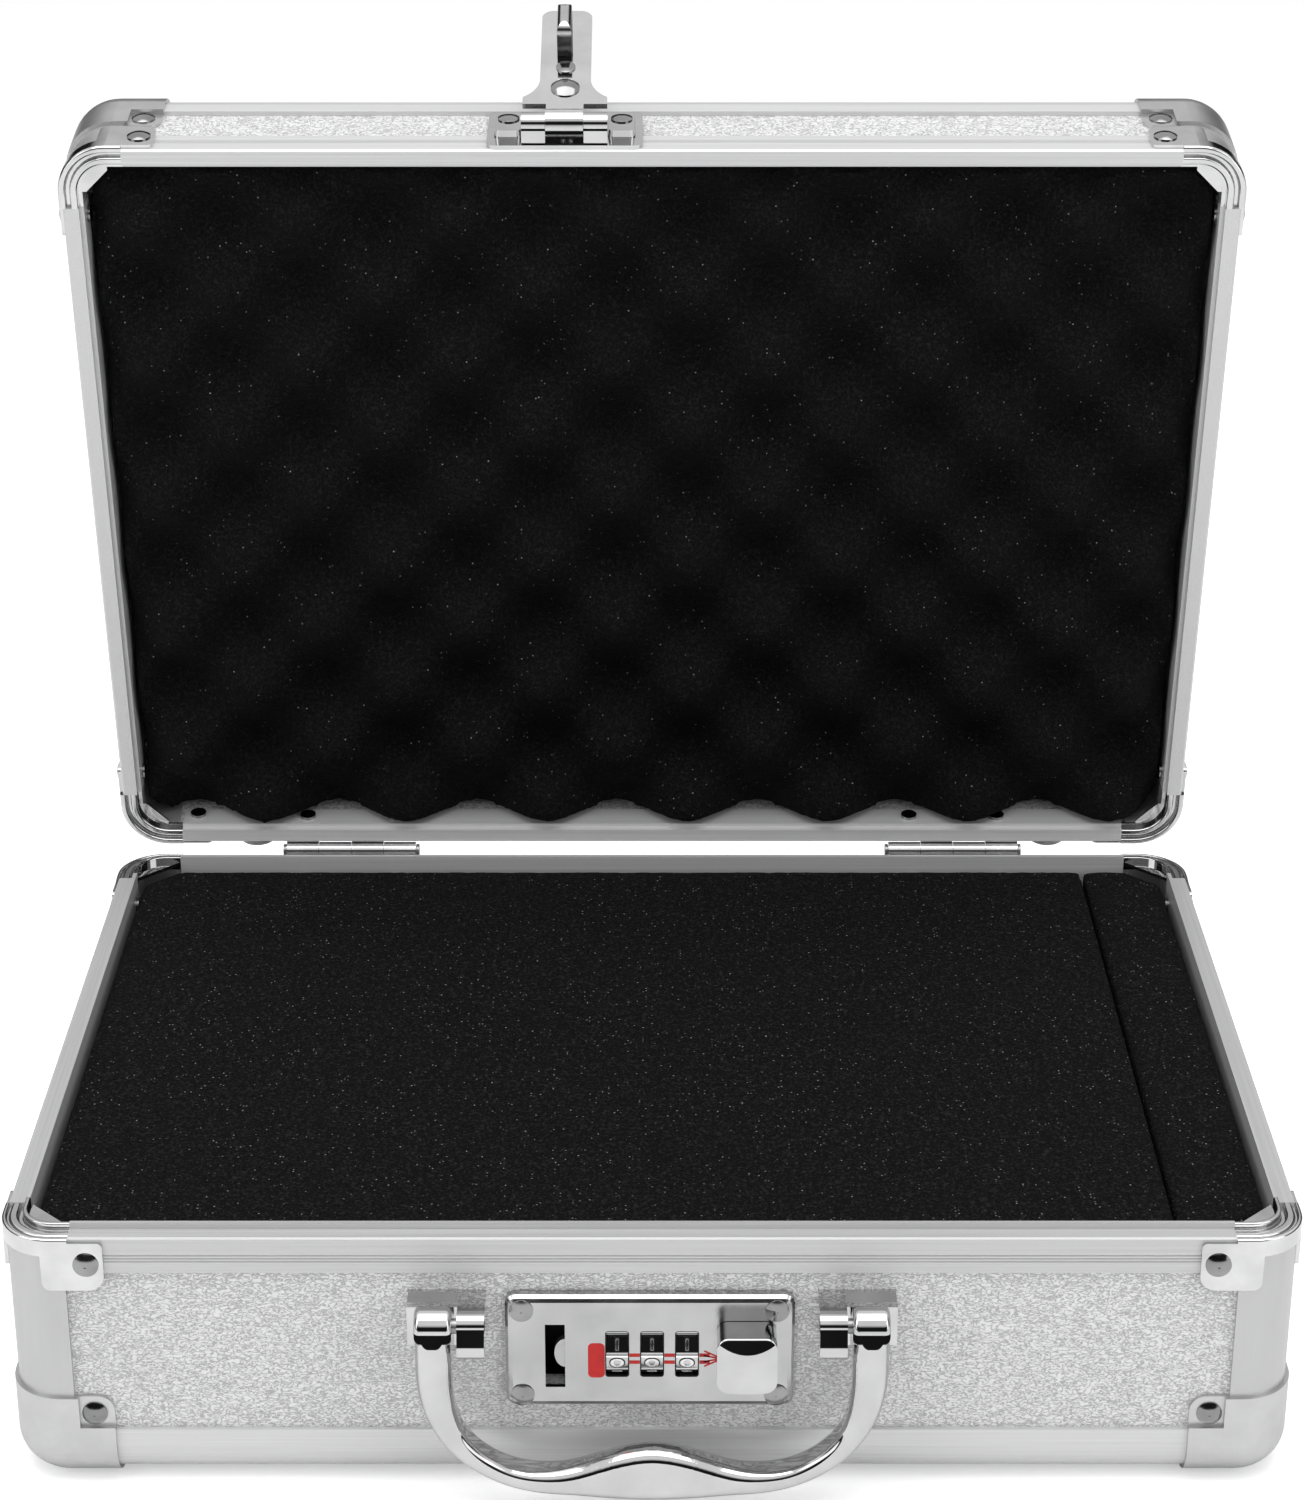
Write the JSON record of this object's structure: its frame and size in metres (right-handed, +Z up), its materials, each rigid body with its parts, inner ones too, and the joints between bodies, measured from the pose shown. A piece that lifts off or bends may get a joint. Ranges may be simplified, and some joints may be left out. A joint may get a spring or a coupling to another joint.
{
  "type": "tool case",
  "caption": "Hard-sided tool case with a hinged lid, carrying handle, hasp with combination lock, metal rails and corners, and foam lining.",
  "frame": {"origin": "on the standing plane, below the middle of the base", "axes": "+Z up, +Y towards the hinges, +X to the right seen from the front with the handle"},
  "size_m": [0.3042, 0.2658, 0.3074],
  "materials": {
    "skin_panel": "leather-grain embossed silver sheet",
    "rail": "satin anodised extrusion",
    "corner_chrome": "bright plated",
    "rivet": "polished",
    "foam": "open cell foam",
    "foot": "moulded",
    "lock_chrome": "satin plated",
    "dial": "moulded",
    "steel": "plain",
    "handle_chrome": "bright plated"
  },
  "bodies": {
    "base": {"base_front_panel": "skin_panel", "base_rear_panel": "skin_panel", "base_left_panel": "skin_panel", "base_right_panel": "skin_panel", "base_bottom_panel": "skin_panel", "base_long_rims": "rail", "base_end_rims": "rail", "base_long_edges": "rail", "base_end_edges": "rail", "base_corner_posts": "rail", "base_rim_corners": "corner_chrome", "base_ball_corners": "corner_chrome", "base_corner_rivets": "rivet", "base_feet": "foot", "hinge_base_leaves": "steel", "hinge_base_rivets": "rivet", "base_foam": "foam", "base_foam_strip": "foam", "hinge_pins": "steel", "lock_plate": "lock_chrome", "lock_plate_rivets": "rivet", "lock_housing": "steel", "dial_axle": "steel", "button_spring": "steel", "handle_left_bracket": "handle_chrome", "handle_right_bracket": "handle_chrome", "handle_bracket_rivets": "rivet"},
    "lid": {"lid_front_panel": "skin_panel", "lid_rear_panel": "skin_panel", "lid_left_panel": "skin_panel", "lid_right_panel": "skin_panel", "lid_top_panel": "skin_panel", "lid_long_rims": "rail", "lid_end_rims": "rail", "lid_long_edges": "rail", "lid_end_edges": "rail", "lid_corner_posts": "rail", "lid_rim_corners": "corner_chrome", "lid_ball_corners": "corner_chrome", "lid_corner_rivets": "rivet", "lid_feet": "foot", "lid_foam": "foam", "hinge_lid_leaves": "steel", "hinge_lid_rivets": "rivet", "hasp_mount": "lock_chrome", "hasp_mount_rivets": "rivet", "hasp_pin": "steel"},
    "hasp": {"hasp_plate": "lock_chrome", "hasp_staple": "steel", "hasp_rivets": "rivet"},
    "button": {"latch_slide": "steel", "release_button": "handle_chrome"},
    "handle": {"handle": "handle_chrome", "handle_pins": "steel"},
    "dial_left": {"dial_1": "dial"},
    "dial_middle": {"dial_2": "dial"},
    "dial_right": {"dial_3": "dial"}
  },
  "joints": [
    {"name": "lid_hinge", "type": "hinge", "parent": "base", "child": "lid", "pos_m": [0, 0.1078, 0.0676], "axis": [1, 0, 0], "range_deg": [0, 80.6]},
    {"name": "hasp_swing", "type": "hinge", "parent": "lid", "child": "hasp", "pos_m": [-0.0221, 0.07557, 0.28374], "axis": [1, 0, 0], "range_deg": [0, 166.4]},
    {"name": "button_slide", "type": "slide", "parent": "base", "child": "button", "axis": [1, 0, 0], "range_m": [0, 0.0045], "stiffness_N_per_m": 300, "springref_m": -0.003, "deforming": ["button_spring"]},
    {"name": "handle_swing", "type": "hinge", "parent": "base", "child": "handle", "pos_m": [0, -0.115, 0.0504], "axis": [-1, 0, 0], "range_deg": [-7, 95]},
    {"name": "dial_1_turn", "type": "hinge", "parent": "base", "child": "dial_left", "pos_m": [-0.0081, -0.1003, 0.0376], "axis": [1, 0, 0], "continuous": true},
    {"name": "dial_2_turn", "type": "hinge", "parent": "base", "child": "dial_middle", "pos_m": [0, -0.1003, 0.0376], "axis": [1, 0, 0], "continuous": true},
    {"name": "dial_3_turn", "type": "hinge", "parent": "base", "child": "dial_right", "pos_m": [0.0081, -0.1003, 0.0376], "axis": [1, 0, 0], "continuous": true}
  ]
}
